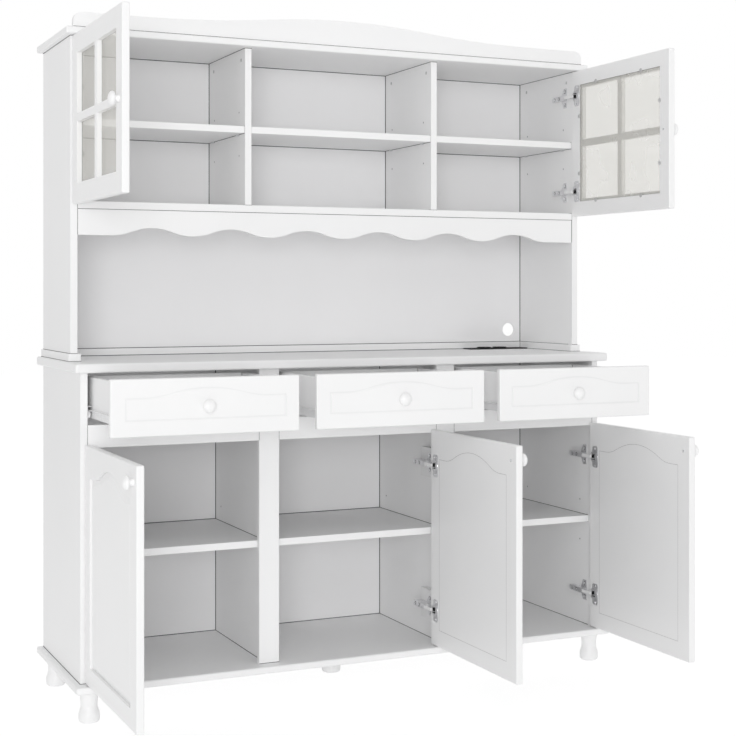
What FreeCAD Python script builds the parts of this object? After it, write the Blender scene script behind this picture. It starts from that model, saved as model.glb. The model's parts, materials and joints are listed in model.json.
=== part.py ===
import FreeCAD, Part
import math
import os

os.makedirs("parts", exist_ok=True)
V = FreeCAD.Vector

# Buffet cabinet with hutch, in millimetres. X runs to the right, Y to the back, Z up.
# The origin is the middle of the centre foot's sole, in the middle of the base board.
# The doors stand open and the drawers stand pulled out, as the piece is displayed.

# Overall widths and boards
top_width = 1520.0
side_overhang = 17.0
board = 18.0
board_bevel = 0.8
edge_round = 5.0
fit_gap = 0.3
through = 2.0

# Depths, from the middle of the base board
base_depth = 465.0
base_lip = 37.0
counter_lip = 27.0
hutch_setback = 106.0
top_lip = 31.6
back_inset = 16.0
back_panel = 5.0
back_groove = 6.0

# Heights of the lower carcass
foot_height = 77.6
side_height = 757.4
counter_thickness = 23.0
drawer_space = 128.0
rail_height = 56.0
lower_shelf_share = 0.5169

# Heights of the hutch
plinth_height = 19.4
hutch_side_height = 796.2
niche_height = 363.9
hutch_floor = 19.0
hutch_shelf_share = 0.459

# Places across the width
partition_share = 0.351
divider_share = 0.3774
stile_width = 54.4
plinth_outer = 5.5
plinth_inner = 7.5
plinth_lip = 5.0
plinth_back_lip = 13.0
shelf_gap = 0.5
hutch_shelf_inset = 3.0

# Turned feet
foot_top_radius = 25.5
foot_neck_radius = 20.5
foot_belly_radius = 26.0
foot_toe_round = 9.0
foot_neck_z = 43.0
foot_belly_z = 18.0
foot_side_inset = 40.4
foot_front_inset = 45.0
foot_back_inset = 49.5

# Shelf pins
pin_radius = 2.5
pin_hole_gap = 0.05
pin_in_wood = 8.0
pin_out = 9.0
pin_front_inset = 45.0
pin_back_inset = 45.0

# Crest on the top board
crest_thickness = 16.0
crest_front_inset = 8.0
crest_end_inset = 19.0
crest_shoulder = 38.0
crest_peak = 69.0
crest_end_round = 22.0
crest_shoulder_length = 182.0
crest_ogee_share = 0.6

# Scalloped valance under the hutch floor
valance_thickness = 15.0
valance_setback = 1.5
valance_end_drop = 66.0
valance_arch_drop = 46.0
valance_plain_end = 86.6
valance_arches = 6

# Doors
door_thickness = 18.0
door_round = 3.0
door_gap = 3.5
door_margin = 50.0
lower_door_rise = 2.9
lower_door_head = 8.5
lower_door_reveal = 6.5
lower_door_overlay = 13.2
middle_door_overlay = 3.2
upper_door_rise = 9.6
upper_door_top_gap = 1.2
upper_door_reveal = 0.2
door_bottom_margin = 46.0
arch_shoulder_drop = 76.0
arch_peak_drop = 41.0
arch_flat = 35.0
arch_share = 0.33
panel_edge_depth = 8.0
panel_field_depth = 2.5
panel_bevel_width = 16.0
muntin_width = 20.0
rebate_width = 8.0
rebate_depth = 6.0
glass_thickness = 4.0
glass_gap = 0.5

# Knobs
knob_radius = 16.0
knob_rim_round = 5.0
knob_foot_radius = 9.0
knob_neck_radius = 6.5
knob_neck_out = 8.0
knob_rim_out = 15.5
knob_out = 25.0
knob_under_angle = 60.0
knob_edge_inset = 26.0
knob_top_inset = 38.0

# Door angle as displayed
open_angle = 90.0

# Cup hinges. The pin lies hinge_pin_in from the door's edge and hinge_pin_deep inside its
# inner face. Along a hinge, x runs from the pin to the free edge of the closed door.
hinge_pin_in = 10.8
hinge_pin_deep = 11.0
hinge_pin_radius = 1.1
hinge_pin_length = 16.0
hinge_pin_gap = 0.1
lower_hinge_inset = 95.0
upper_hinge_inset = 72.0
cup_centre_in = 24.0
cup_radius = 17.4
cup_hole_gap = 0.1
cup_depth = 13.5
cup_sheet = 0.6
cup_notch_width = 15.0
cup_notch_depth = 9.0
cheek_width = 1.8
cheek_length = 4.6
cheek_inside = 6.0
flange_near = 16.0
flange_far = 43.0
flange_height = 60.0
flange_sheet = 1.0
flange_corner = 5.0
link_inner = 15.5
link_sheet = 1.5
link_width = 10.0
link_top = 1.2
knuckle_radius = 1.7
plate_clear = 27.0
plate_sheet = 2.0
wing_height = 57.0
wing_length = 16.0
wing_taper = 12.0
arm_length = 66.0
arm_width = 14.0
arm_corner = 3.0

# Drawers
drawer_front_overlay = 6.2
drawer_front_foot = 7.5
drawer_front_drop = 2.0
drawer_front_thickness = 16.5
drawer_front_gap = 2.0
drawer_pull = 246.5
drawer_shorter = 25.0
drawer_side = 12.0
drawer_top_space = 12.4
drawer_bottom = 4.0
drawer_bottom_rise = 10.0
drawer_groove = 5.0
groove_side_margin = 34.0
groove_bottom_margin = 35.6
groove_shoulder_drop = 43.0
groove_peak_drop = 22.0
groove_flat = 45.0
groove_width = 4.5
groove_depth = 2.0
groove_share = 0.45

# Roller slides under the drawers, measured from the face that carries the channel
slide_space = 12.5
slide_rise = 14.0
slide_sheet = 1.2
channel_height = 32.0
channel_lip = 10.3
channel_setback = 3.0
channel_back_space = 54.0
runner_lip_out = 8.3
runner_foot_in = 11.0
runner_drop = 1.2
roller_radius = 10.0
roller_width = 6.0
roller_wall_gap = 2.4
roller_inset = 12.0
stud_radius = 2.5
roller_play = 0.3

# Packing blocks that bring slides and hinges level with the stiles
batten_height = 42.0
batten_shorter = 5.0
hinge_block_length = 78.0
hinge_block_height = 80.0

# Power outlet set in the counter
outlet_end_space = 6.5
outlet_back_inset = 66.0
outlet_length = 197.0
outlet_width = 55.0
outlet_plate = 3.2
outlet_round = 6.0
outlet_body_inset = 5.0
outlet_body_drop = 34.0
socket_radius = 21.5
socket_height = 5.4
socket_pitch = 53.0
socket_shift = 12.5
slot_gap = 0.4

# Cable hole in the niche back
cable_hole_inset = 42.0
cable_hole_rise = 57.0
cable_hole_radius = 20.0

# Levels worked out from the sizes above
base_top = foot_height + board
counter_bottom = base_top + side_height
counter_top = counter_bottom + counter_thickness
hutch_foot = counter_top + plinth_height
hutch_floor_bottom = hutch_foot + niche_height
hutch_floor_top = hutch_floor_bottom + hutch_floor
top_bottom = hutch_foot + hutch_side_height
top_top = top_bottom + board
rail_top = counter_bottom - drawer_space
rail_bottom = rail_top - rail_height
base_front = -base_depth / 2
back = base_depth / 2
front = base_front + base_lip
counter_front = front - counter_lip
hutch_front = front + hutch_setback
top_front = hutch_front - top_lip
panel_back = back - back_inset
panel_front = panel_back - back_panel
half_width = top_width / 2
side_out = half_width - side_overhang
side_in = side_out - board
partition_x = side_in * partition_share
divider_x = side_in * divider_share
partition_out = partition_x + board / 2
partition_in = partition_x - board / 2
stile_out = partition_x + stile_width / 2
stile_in = partition_x - stile_width / 2
divider_out = divider_x + board / 2
divider_in = divider_x - board / 2
stile_back = front + board
channel_length = panel_front - front - channel_setback - channel_back_space
drawer_depth = channel_length - drawer_shorter
outlet_x = side_in - plinth_inner - outlet_end_space - outlet_length / 2
outlet_y = back - outlet_back_inset
cable_hole_x = side_in - cable_hole_inset


def save(name, shapes):
    """Write one node, made of one or more separate solids."""
    shape = shapes[0] if len(shapes) == 1 else Part.makeCompound(shapes)
    bad = [solid for solid in shape.Solids if not solid.isValid() or solid.Volume <= 0]
    print(name, "solids", len(shape.Solids), "bad", len(bad))
    shape.exportStep("parts/" + name + ".step")


def block(x0, x1, y0, y1, z0, z1):
    return Part.makeBox(x1 - x0, y1 - y0, z1 - z0, V(x0, y0, z0))


def slab(x0, x1, y0, y1, z0, z1):
    """A board with a fine bevel along every edge."""
    shape = block(x0, x1, y0, y1, z0, z1)
    return shape.makeChamfer(board_bevel, shape.Edges)


def rounded_slab(x0, x1, y0, y1, z0, z1, radius):
    """A board whose front and side edges are rounded, with a square back edge."""
    shape = block(x0, x1, y0, y1, z0, z1)
    edges = [edge for edge in shape.Edges if edge.CenterOfMass.y < y1 - radius]
    return shape.makeFillet(radius, edges)


def line(a, b, y):
    return Part.LineSegment(V(a[0], y, a[1]), V(b[0], y, b[1])).toShape()


def ogee(start, end, share, y):
    """Two arcs in an upright plane, level at both ends; the first spans that share of the run."""
    run, rise = end[0] - start[0], end[1] - start[1]
    reach = (run * run + rise * rise) / (2 * abs(rise))
    half = math.atan(abs(rise) / abs(run))
    side, up = math.copysign(1, run), math.copysign(1, rise)
    join = (start[0] + run * share, start[1] + rise * share)
    edges = []
    for point, part, way in ((start, share, 1), (end, 1 - share, -1)):
        middle = (point[0] + way * side * reach * part * math.sin(half),
                  point[1] + way * up * reach * part * (1 - math.cos(half)))
        ends = (point, join) if way > 0 else (join, point)
        arc = Part.Arc(V(ends[0][0], y, ends[0][1]), V(middle[0], y, middle[1]),
                       V(ends[1][0], y, ends[1][1]))
        edges.append(arc.toShape())
    return edges


def arched_wire(x0, x1, z0, shoulder, peak, flat, share, y):
    """A rectangle whose top has flat shoulders and an ogee arch between them."""
    middle = ((x0 + x1) / 2, peak)
    left, right = (x0 + flat, shoulder), (x1 - flat, shoulder)
    edges = [line((x0, z0), (x1, z0), y), line((x1, z0), (x1, shoulder), y)]
    edges.append(line((x1, shoulder), right, y))
    edges += ogee(right, middle, share, y)
    edges += ogee(middle, left, 1 - share, y)
    edges += [line(left, (x0, shoulder), y), line((x0, shoulder), (x0, z0), y)]
    return Part.Wire(edges)


def turned(points, axis_point, axis):
    """A solid of revolution from a closed list of edges."""
    return Part.Face(Part.Wire(points)).revolve(axis_point, axis, 360)


def place(shape, side, x, y, z, angle):
    """Swing a part open about its pin, hand it, and move its pin to a place.
    side is 1 where the hinge is on the right and -1 where it is on the left."""
    moved = shape.copy()
    moved.rotate(V(0, 0, 0), V(0, 0, 1), -angle)
    if side > 0:
        moved = moved.mirror(V(0, 0, 0), V(1, 0, 0))
    moved.translate(V(x, y, z))
    return moved


def base_and_feet():
    save("base_board", [rounded_slab(-half_width, half_width, base_front, back,
                                     foot_height, base_top, edge_round)])
    front_y = base_front + foot_front_inset
    back_y = back - foot_back_inset
    foot_x = half_width - foot_side_inset
    places = [(-foot_x, front_y), (foot_x, front_y), (-foot_x, back_y), (foot_x, back_y), (0, 0)]
    save("feet", [foot(x, y) for x, y in places])


def hollow_arc(at, neck_radius, neck_z, radius, z):
    """A hollow curve that leaves the neck upright and flares out to a point above or below."""
    rise, run = z - neck_z, radius - neck_radius
    reach = (rise * rise + run * run) / (2 * run)
    middle = at(neck_radius + reach - math.sqrt(reach * reach - rise * rise / 4), neck_z + rise / 2)
    return Part.Arc(at(neck_radius, neck_z), middle, at(radius, z)).toShape()


def foot(x, y):
    """One turned foot: a round belly low down, a waist, and a flare under the board."""
    def at(radius, z):
        return V(x + radius, y, z)

    def straight(a, b):
        return Part.LineSegment(at(*a), at(*b)).toShape()
    sole_radius = foot_belly_radius - foot_toe_round
    turn = foot_toe_round * math.sqrt(1 / 2)
    toe = Part.Arc(at(sole_radius, 0), at(sole_radius + turn, foot_toe_round - turn),
                   at(foot_belly_radius, foot_toe_round)).toShape()
    half_z = (foot_belly_z + foot_neck_z) / 2
    half_radius = (foot_belly_radius + foot_neck_radius) / 2
    run, rise = half_radius - foot_neck_radius, foot_neck_z - half_z
    reach = (rise * rise + run * run) / (2 * run)
    slope = rise / math.sqrt(reach * reach - rise * rise)
    third = (half_z - foot_belly_z) / 3
    belly = Part.BezierCurve()
    belly.setPoles([at(foot_belly_radius, foot_belly_z), at(foot_belly_radius, foot_belly_z + third),
                    at(half_radius + slope * third, half_z - third), at(half_radius, half_z)])
    waist = hollow_arc(at, foot_neck_radius, foot_neck_z, half_radius, half_z)
    flare = hollow_arc(at, foot_neck_radius, foot_neck_z, foot_top_radius, foot_height)
    edges = [straight((0, 0), (sole_radius, 0)), toe,
             straight((foot_belly_radius, foot_toe_round), (foot_belly_radius, foot_belly_z)),
             belly.toShape(), waist, flare, straight((foot_top_radius, foot_height), (0, foot_height)),
             straight((0, foot_height), (0, 0))]
    return turned(edges, V(x, y, 0), V(0, 0, 1))


def pin_places(shelf_bottom, y_front, y_back):
    """Y and Z of the two pin rows under a shelf."""
    z = shelf_bottom - pin_radius
    return [(y_front + pin_front_inset, z), (y_back - pin_back_inset, z)]


def drill_pins(shape, face, way, places):
    """Drill pin holes into a panel from the face at x, in the given direction."""
    for y, z in places:
        hole = Part.makeCylinder(pin_radius + pin_hole_gap, pin_in_wood, V(face, y, z), V(way, 0, 0))
        shape = shape.cut(hole)
    return shape


def pins(face, way, places):
    start = face - way * (pin_in_wood - fit_gap)
    length = pin_in_wood - fit_gap + pin_out
    return [Part.makeCylinder(pin_radius, length, V(start, y, z), V(way, 0, 0)) for y, z in places]


lower_shelf_bottom = base_top + (rail_bottom - base_top) * lower_shelf_share
hutch_shelf_bottom = hutch_floor_top + (top_bottom - hutch_floor_top) * hutch_shelf_share
lower_shelf_front = stile_back + shelf_gap
hutch_shelf_front = hutch_front + hutch_shelf_inset
shelf_back = panel_front - shelf_gap
lower_pin_rows = pin_places(lower_shelf_bottom, lower_shelf_front, shelf_back)
hutch_pin_rows = pin_places(hutch_shelf_bottom, hutch_shelf_front, shelf_back)


def cut_back_groove(shape, side, z0, z1):
    """Plough the groove for the back panels into a side panel's inner face."""
    faces = sorted((side * (side_in - through), side * (side_in + back_groove)))
    return shape.cut(block(faces[0], faces[1], panel_front - fit_gap, panel_back + fit_gap, z0, z1))


def lower_carcass():
    for side, name in ((-1, "left"), (1, "right")):
        faces = sorted((side * side_in, side * side_out))
        panel = slab(faces[0], faces[1], front, back, base_top, counter_bottom)
        panel = cut_back_groove(panel, side, base_top - through, counter_bottom + through)
        save("side_panel_" + name, [drill_pins(panel, side * side_in, side, lower_pin_rows)])
        faces = sorted((side * partition_in, side * partition_out))
        wall = slab(faces[0], faces[1], stile_back, panel_front, base_top, counter_bottom)
        wall = drill_pins(wall, side * partition_out, -side, lower_pin_rows)
        save("partition_" + name, [drill_pins(wall, side * partition_in, side, lower_pin_rows)])
    stiles = []
    for side in (-1, 1):
        faces = sorted((side * stile_in, side * stile_out))
        stiles.append(slab(faces[0], faces[1], front, stile_back, base_top, counter_bottom))
    save("front_stiles", stiles)
    rails = []
    for x0, x1 in ((-side_in, -stile_out), (-stile_in, stile_in), (stile_out, side_in)):
        rails.append(slab(x0, x1, front, stile_back, rail_bottom, rail_top))
    save("drawer_rails", rails)
    panels = []
    reach = side_in + back_groove - fit_gap
    joint = partition_x - fit_gap
    for x0, x1 in ((-reach, -partition_x - fit_gap), (-joint, joint), (partition_x + fit_gap, reach)):
        panels.append(block(x0, x1, panel_front, panel_back, base_top, counter_bottom))
    save("lower_back_panels", panels)


def bay_shelves(name, outer, wall_out, wall_in, y0, z0):
    """Three loose shelves, one in each bay."""
    shelves = []
    spans = ((-outer + shelf_gap, -wall_out - shelf_gap), (-wall_in + shelf_gap, wall_in - shelf_gap),
             (wall_out + shelf_gap, outer - shelf_gap))
    for x0, x1 in spans:
        shelves.append(slab(x0, x1, y0, shelf_back, z0, z0 + board))
    save(name, shelves)


def shelf_pins():
    pegs = []
    for inner, wall_out, wall_in, rows in ((side_in, partition_out, partition_in, lower_pin_rows),
                                           (side_in, divider_out, divider_in, hutch_pin_rows)):
        for side in (-1, 1):
            pegs += pins(side * inner, -side, rows)
            pegs += pins(side * wall_out, side, rows)
            pegs += pins(side * wall_in, -side, rows)
    save("shelf_pins", pegs)


def packing_blocks():
    """Battens behind the slides and blocks behind the middle door's hinges."""
    blocks = []
    slide_base = rail_top + slide_rise
    batten_z = slide_base + (channel_height - batten_height) / 2
    batten_end = front + channel_setback + channel_length - batten_shorter
    for side in (-1, 1):
        for near, far in ((stile_in, partition_in), (partition_out, stile_out)):
            faces = sorted((side * near, side * far))
            blocks.append(block(faces[0], faces[1], stile_back, batten_end,
                                batten_z, batten_z + batten_height))
    for z in hinge_levels(lower_door_bottom, lower_door_height, lower_hinge_inset):
        blocks.append(block(stile_in, partition_in, stile_back, stile_back + hinge_block_length,
                            z - hinge_block_height / 2, z + hinge_block_height / 2))
    save("packing_blocks", blocks)


def counter():
    shape = rounded_slab(-half_width, half_width, counter_front, back,
                         counter_bottom, counter_top, edge_round)
    half_length = outlet_length / 2 - outlet_body_inset + slot_gap
    half_depth = outlet_width / 2 - outlet_body_inset + slot_gap
    slot = block(outlet_x - half_length, outlet_x + half_length, outlet_y - half_depth,
                 outlet_y + half_depth, counter_bottom - through, counter_top + through)
    save("countertop", [shape.cut(slot)])


def power_outlet():
    """A flush outlet strip: a flanged plate, its body through the counter and two sockets."""
    half_length, half_depth = outlet_length / 2, outlet_width / 2
    plate = block(outlet_x - half_length, outlet_x + half_length, outlet_y - half_depth,
                  outlet_y + half_depth, counter_top, counter_top + outlet_plate)
    corners = [edge for edge in plate.Edges if abs(edge.tangentAt(edge.FirstParameter).z) > 1 / 2]
    plate = plate.makeFillet(outlet_round, corners)
    half_length -= outlet_body_inset
    half_depth -= outlet_body_inset
    body = block(outlet_x - half_length, outlet_x + half_length, outlet_y - half_depth,
                 outlet_y + half_depth, counter_top - outlet_body_drop, counter_top)
    shape = plate.fuse(body)
    middle = outlet_x - socket_shift
    for x in (middle - socket_pitch / 2, middle + socket_pitch / 2):
        shape = shape.fuse(Part.makeCylinder(socket_radius, socket_height, V(x, outlet_y, counter_top)))
    save("power_outlet", [shape.removeSplitter()])


def hutch_carcass():
    strips = []
    strip_in, strip_out = side_in - plinth_inner, side_out + plinth_outer
    for side in (-1, 1):
        faces = sorted((side * strip_in, side * strip_out))
        strips.append(slab(faces[0], faces[1], hutch_front - plinth_lip, back, counter_top, hutch_foot))
    strips.append(slab(-strip_in, strip_in, panel_front - plinth_back_lip, back, counter_top, hutch_foot))
    save("hutch_plinth", strips)
    for side, name in ((-1, "left"), (1, "right")):
        faces = sorted((side * side_in, side * side_out))
        panel = slab(faces[0], faces[1], hutch_front, back, hutch_foot, top_bottom)
        panel = cut_back_groove(panel, side, hutch_foot - through, top_bottom + through)
        save("hutch_side_" + name, [drill_pins(panel, side * side_in, side, hutch_pin_rows)])
        faces = sorted((side * divider_in, side * divider_out))
        wall = slab(faces[0], faces[1], hutch_front, panel_front, hutch_floor_top, top_bottom)
        wall = drill_pins(wall, side * divider_out, -side, hutch_pin_rows)
        save("divider_" + name, [drill_pins(wall, side * divider_in, side, hutch_pin_rows)])
    save("hutch_floor", [slab(-side_in, side_in, hutch_front, panel_front,
                              hutch_floor_bottom, hutch_floor_top)])
    reach = side_in + back_groove - fit_gap
    niche = block(-reach, reach, panel_front, panel_back, hutch_foot, hutch_floor_bottom)
    hole = Part.makeCylinder(cable_hole_radius, back_panel + 2 * through,
                             V(cable_hole_x, panel_front - through, counter_top + cable_hole_rise),
                             V(0, 1, 0))
    save("niche_back", [niche.cut(hole)])
    panels = []
    joint = divider_x - fit_gap
    for x0, x1 in ((-reach, -divider_x - fit_gap), (-joint, joint), (divider_x + fit_gap, reach)):
        panels.append(block(x0, x1, panel_front, panel_back, hutch_floor_bottom, top_bottom))
    save("hutch_back_panels", panels)
    save("top_board", [rounded_slab(-half_width, half_width, top_front, back,
                                    top_bottom, top_top, edge_round)])


def valance():
    """A board whose lower edge runs in even scallops between two plain ends."""
    y = hutch_front + valance_setback
    top, low = hutch_floor_bottom, hutch_floor_bottom - valance_end_drop
    high = hutch_floor_bottom - valance_arch_drop
    start = valance_plain_end - side_in
    pitch = -2 * start / valance_arches
    edges = [line((-side_in, top), (-side_in, low), y), line((-side_in, low), (start, low), y)]
    for index in range(valance_arches):
        x = start + index * pitch
        crown = (x + pitch / 2, high)
        edges += ogee((x, low), crown, 1 / 2, y)
        edges += ogee(crown, (x + pitch, low), 1 / 2, y)
    edges += [line((-start, low), (side_in, low), y), line((side_in, low), (side_in, top), y)]
    edges.append(line((side_in, top), (-side_in, top), y))
    save("valance", [Part.Face(Part.Wire(edges)).extrude(V(0, valance_thickness, 0))])


def crest():
    """The shaped board along the top: round ends, low shoulders and a long swell."""
    y = top_front + crest_front_inset
    end = half_width - crest_end_inset
    foot_z, shoulder, peak = top_top, top_top + crest_shoulder, top_top + crest_peak
    inner = end - crest_shoulder_length
    bend = crest_end_round * (1 - math.sqrt(1 / 2))
    edges = [line((-end, foot_z), (end, foot_z), y),
             line((end, foot_z), (end, shoulder - crest_end_round), y)]
    edges.append(Part.Arc(V(end, y, shoulder - crest_end_round), V(end - bend, y, shoulder - bend),
                          V(end - crest_end_round, y, shoulder)).toShape())
    edges.append(line((end - crest_end_round, shoulder), (inner, shoulder), y))
    edges += ogee((inner, shoulder), (0, peak), crest_ogee_share, y)
    edges += ogee((0, peak), (-inner, shoulder), 1 - crest_ogee_share, y)
    edges.append(line((-inner, shoulder), (-end + crest_end_round, shoulder), y))
    edges.append(Part.Arc(V(-end + crest_end_round, y, shoulder), V(-end + bend, y, shoulder - bend),
                          V(-end, y, shoulder - crest_end_round)).toShape())
    edges.append(line((-end, shoulder - crest_end_round), (-end, foot_z), y))
    save("crest", [Part.Face(Part.Wire(edges)).extrude(V(0, crest_thickness, 0))])


# Doors and their hinges. Each door is drawn closed, with its lowest hinge corner at
# x = -hinge_pin_in, its outer face at y = door_out and its foot at z = 0, about the pin.
door_in = hinge_pin_deep
door_out = hinge_pin_deep - door_thickness
lower_door_bottom = base_top + lower_door_rise
upper_door_bottom = hutch_floor_bottom + upper_door_rise
lower_door_height = rail_bottom + lower_door_head - lower_door_bottom
upper_door_height = top_bottom - upper_door_top_gap - upper_door_bottom
lower_door_width = side_out - lower_door_reveal - stile_out + lower_door_overlay
middle_door_width = 2 * (stile_in + middle_door_overlay)
upper_door_width = side_out - upper_door_reveal - divider_in
pin_ahead = door_gap + hinge_pin_deep


def hinge_levels(bottom, height, inset):
    return [bottom + inset, bottom + height - inset]


def knob(x, y, z):
    """A turned knob that stands out from a front face: a waisted neck, a round rim and a dome."""
    def at(radius, out):
        return V(x + radius, y - out, z)

    def rim(angle):
        return (ring + knob_rim_round * math.cos(angle), knob_rim_out + knob_rim_round * math.sin(angle))
    ring = knob_radius - knob_rim_round
    reach = knob_out - knob_rim_round
    centre = (reach * reach - knob_rim_out * knob_rim_out - ring * ring) / (2 * (reach - knob_rim_out))
    under, over = -math.radians(knob_under_angle), math.atan2(knob_rim_out - centre, ring)
    cap = (math.pi / 2 + over) / 2
    ball = knob_out - centre
    corners = [(0, 0), (knob_foot_radius, 0), (knob_neck_radius, knob_neck_out), rim(under)]
    edges = [Part.LineSegment(at(*a), at(*b)).toShape() for a, b in zip(corners, corners[1:])]
    edges.append(Part.Arc(at(*rim(under)), at(*rim((under + over) / 2)), at(*rim(over))).toShape())
    edges.append(Part.Arc(at(*rim(over)), at(ball * math.cos(cap), centre + ball * math.sin(cap)),
                          at(0, knob_out)).toShape())
    edges.append(Part.LineSegment(at(0, knob_out), at(0, 0)).toShape())
    return turned(edges, V(x, y, z), V(0, 1, 0))


def drill_cups(shape, levels):
    """Bore the cup holes into a door's inner face."""
    x = cup_centre_in - hinge_pin_in
    for z in levels:
        hole = Part.makeCylinder(cup_radius + cup_hole_gap, cup_depth + fit_gap,
                                 V(x, door_in, z), V(0, -1, 0))
        shape = shape.cut(hole)
    return shape


def door_blank(width, height):
    blank = block(-hinge_pin_in, width - hinge_pin_in, door_out, door_in, 0, height)
    return blank.makeFillet(door_round, blank.Edges)


def panelled_door(width):
    """Frame with an arched opening, and the fielded panel that fills it."""
    x0, x1 = door_margin - hinge_pin_in, width - door_margin - hinge_pin_in
    shoulder = lower_door_height - arch_shoulder_drop
    peak = lower_door_height - arch_peak_drop

    def outline(inset, y):
        return arched_wire(x0 + inset, x1 - inset, door_bottom_margin + inset, shoulder - inset,
                           peak - inset, arch_flat, arch_share, y)
    opening = Part.Face(outline(0, door_out - through)).extrude(V(0, door_thickness + 2 * through, 0))
    frame = door_blank(width, lower_door_height).cut(opening)
    edge_y, field_y = door_out + panel_edge_depth, door_out + panel_field_depth
    bevel = Part.makeLoft([outline(fit_gap, edge_y), outline(panel_bevel_width, field_y)], True, True)
    backing = Part.Face(outline(fit_gap, edge_y)).extrude(V(0, door_in - edge_y, 0))
    panel = backing.fuse(bevel).removeSplitter()
    return frame, panel


def glazed_door(width, height):
    """Frame with crossed muntins and a rebate at the back, and the pane that lies in it."""
    x0, x1 = door_margin - hinge_pin_in, width - door_margin - hinge_pin_in
    z0, z1 = door_margin, height - door_margin
    middle_x, middle_z, half = (x0 + x1) / 2, (z0 + z1) / 2, muntin_width / 2
    frame = door_blank(width, height)
    for left, right in ((x0, middle_x - half), (middle_x + half, x1)):
        for low, high in ((z0, middle_z - half), (middle_z + half, z1)):
            frame = frame.cut(block(left, right, door_out - through, door_in + through, low, high))
    rebate_front = door_in - rebate_depth
    frame = frame.cut(block(x0 - rebate_width, x1 + rebate_width, rebate_front, door_in + through,
                            z0 - rebate_width, z1 + rebate_width))
    reach = rebate_width - glass_gap
    pane = block(x0 - reach, x1 + reach, rebate_front, rebate_front + glass_thickness,
                 z0 - reach, z1 + reach)
    return frame, pane


def hinge_cup(z):
    """The pressed cup with its flange, and the two cheeks that hold the pin."""
    x = cup_centre_in - hinge_pin_in
    cup = Part.makeCylinder(cup_radius, cup_depth, V(x, door_in, z), V(0, -1, 0))
    flange = block(flange_near - hinge_pin_in, flange_far - hinge_pin_in, door_in,
                   door_in + flange_sheet, z - flange_height / 2, z + flange_height / 2)
    corners = [edge for edge in flange.Edges if abs(edge.tangentAt(edge.FirstParameter).y) > 1 / 2]
    shape = cup.fuse(flange.makeChamfer(flange_corner, corners))
    bottom = door_in - cup_depth + cup_sheet
    hollow = Part.makeCylinder(cup_radius - cup_sheet, cup_depth + flange_sheet,
                               V(x, bottom, z), V(0, 1, 0))
    shape = shape.cut(hollow)
    notch = block(x - 2 * cup_radius, x - cup_radius / 2, door_in - cup_notch_depth,
                  door_in + 2 * flange_sheet, z - cup_notch_width / 2, z + cup_notch_width / 2)
    shape = shape.cut(notch)
    for way in (-1, 1):
        ends = sorted((z + way * cheek_inside, z + way * (cheek_inside + cheek_width)))
        cheek = block(-cheek_length / 2, cheek_length / 2, bottom - cup_sheet / 2,
                      hinge_pin_radius + cup_sheet, ends[0], ends[1])
        shape = shape.fuse(cheek.common(cup))
    bore = Part.makeCylinder(hinge_pin_radius + hinge_pin_gap, hinge_pin_length + through,
                             V(0, 0, z - (hinge_pin_length + through) / 2))
    return shape.cut(bore).removeSplitter()


def hinge_arm(z, face):
    """The winged plate on the carcass, its arm, the cranked link and the pin."""
    near = pin_ahead + plate_clear
    sole, crown = face, face + plate_sheet
    low, high = z - wing_height / 2, z + wing_height / 2
    tail_low, tail_high = z - arm_width / 2, z + arm_width / 2
    tail = near + wing_length + wing_taper
    end = near + arm_length
    corners = [(near, low), (near + wing_length, low), (tail, tail_low), (end, tail_low),
               (end, tail_high), (tail, tail_high), (near + wing_length, high), (near, high)]
    wire = Part.makePolygon([V(sole, y, level) for y, level in corners + corners[:1]])
    wings = Part.Face(wire).extrude(V(crown - sole, 0, 0))
    outer = link_inner + link_sheet
    arm = block(crown, outer, near, end, tail_low, tail_high)
    ends = [edge for edge in arm.Edges
            if abs(edge.tangentAt(edge.FirstParameter).x) > 1 / 2 and edge.CenterOfMass.y > near + arm_corner]
    arm = arm.makeChamfer(arm_corner, ends)
    half = link_width / 2
    link = block(link_inner, outer, link_top - link_sheet, near, z - half, z + half)
    crank = block(0, outer, link_top - link_sheet, link_top, z - half, z + half)
    knuckle = Part.makeCylinder(knuckle_radius, link_width, V(0, 0, z - half))
    pin = Part.makeCylinder(hinge_pin_radius, hinge_pin_length, V(0, 0, z - hinge_pin_length / 2))
    return wings.fuse([arm, link, crank, knuckle, pin]).removeSplitter()


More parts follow.
